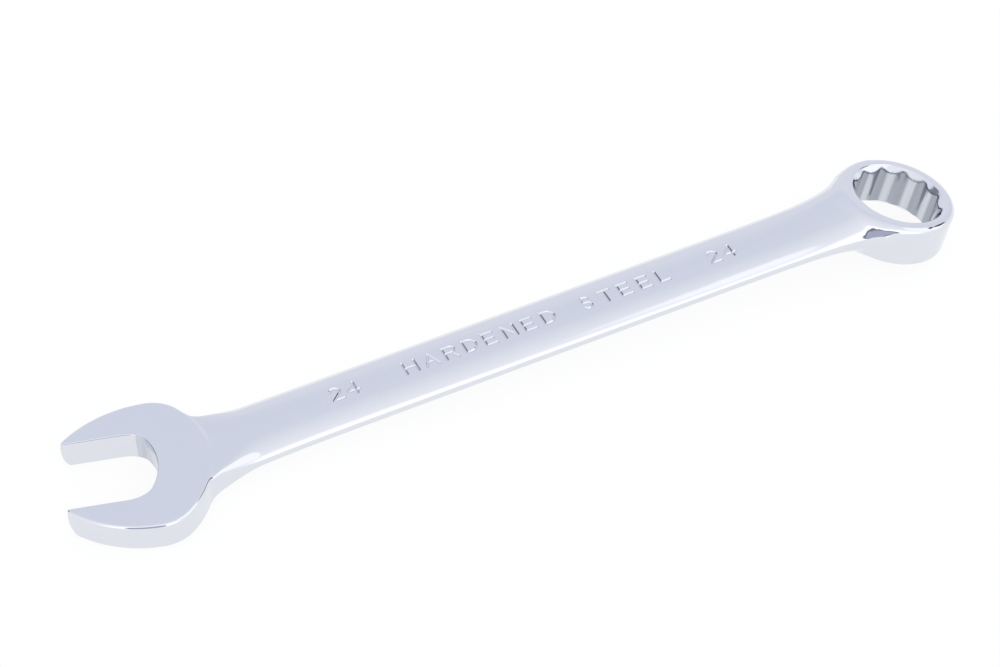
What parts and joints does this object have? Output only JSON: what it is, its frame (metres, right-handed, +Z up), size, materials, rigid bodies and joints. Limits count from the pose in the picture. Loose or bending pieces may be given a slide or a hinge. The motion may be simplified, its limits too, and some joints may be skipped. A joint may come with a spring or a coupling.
{
  "type": "combination wrench",
  "caption": "Chrome-plated combination wrench: an angled open jaw at one end, a long rounded shank and an offset box ring with a star-shaped socket at the other.",
  "frame": {"origin": "under the middle of the wrench, on the surface that it lies on", "axes": "+X from the open-end head towards the ring head, +Y towards the jaw arm that the slot is turned to, +Z up; the wrench lies as it rests, so its shank climbs about two degrees towards the ring"},
  "size_m": [0.2866, 0.0472, 0.0216],
  "materials": {
    "polished_chrome": "bright nickel-chrome plating over a polished steel forging"
  },
  "bodies": {
    "root": {"open_end_head": "polished_chrome", "shank": "polished_chrome", "ring_head": "polished_chrome"}
  },
  "joints": []
}
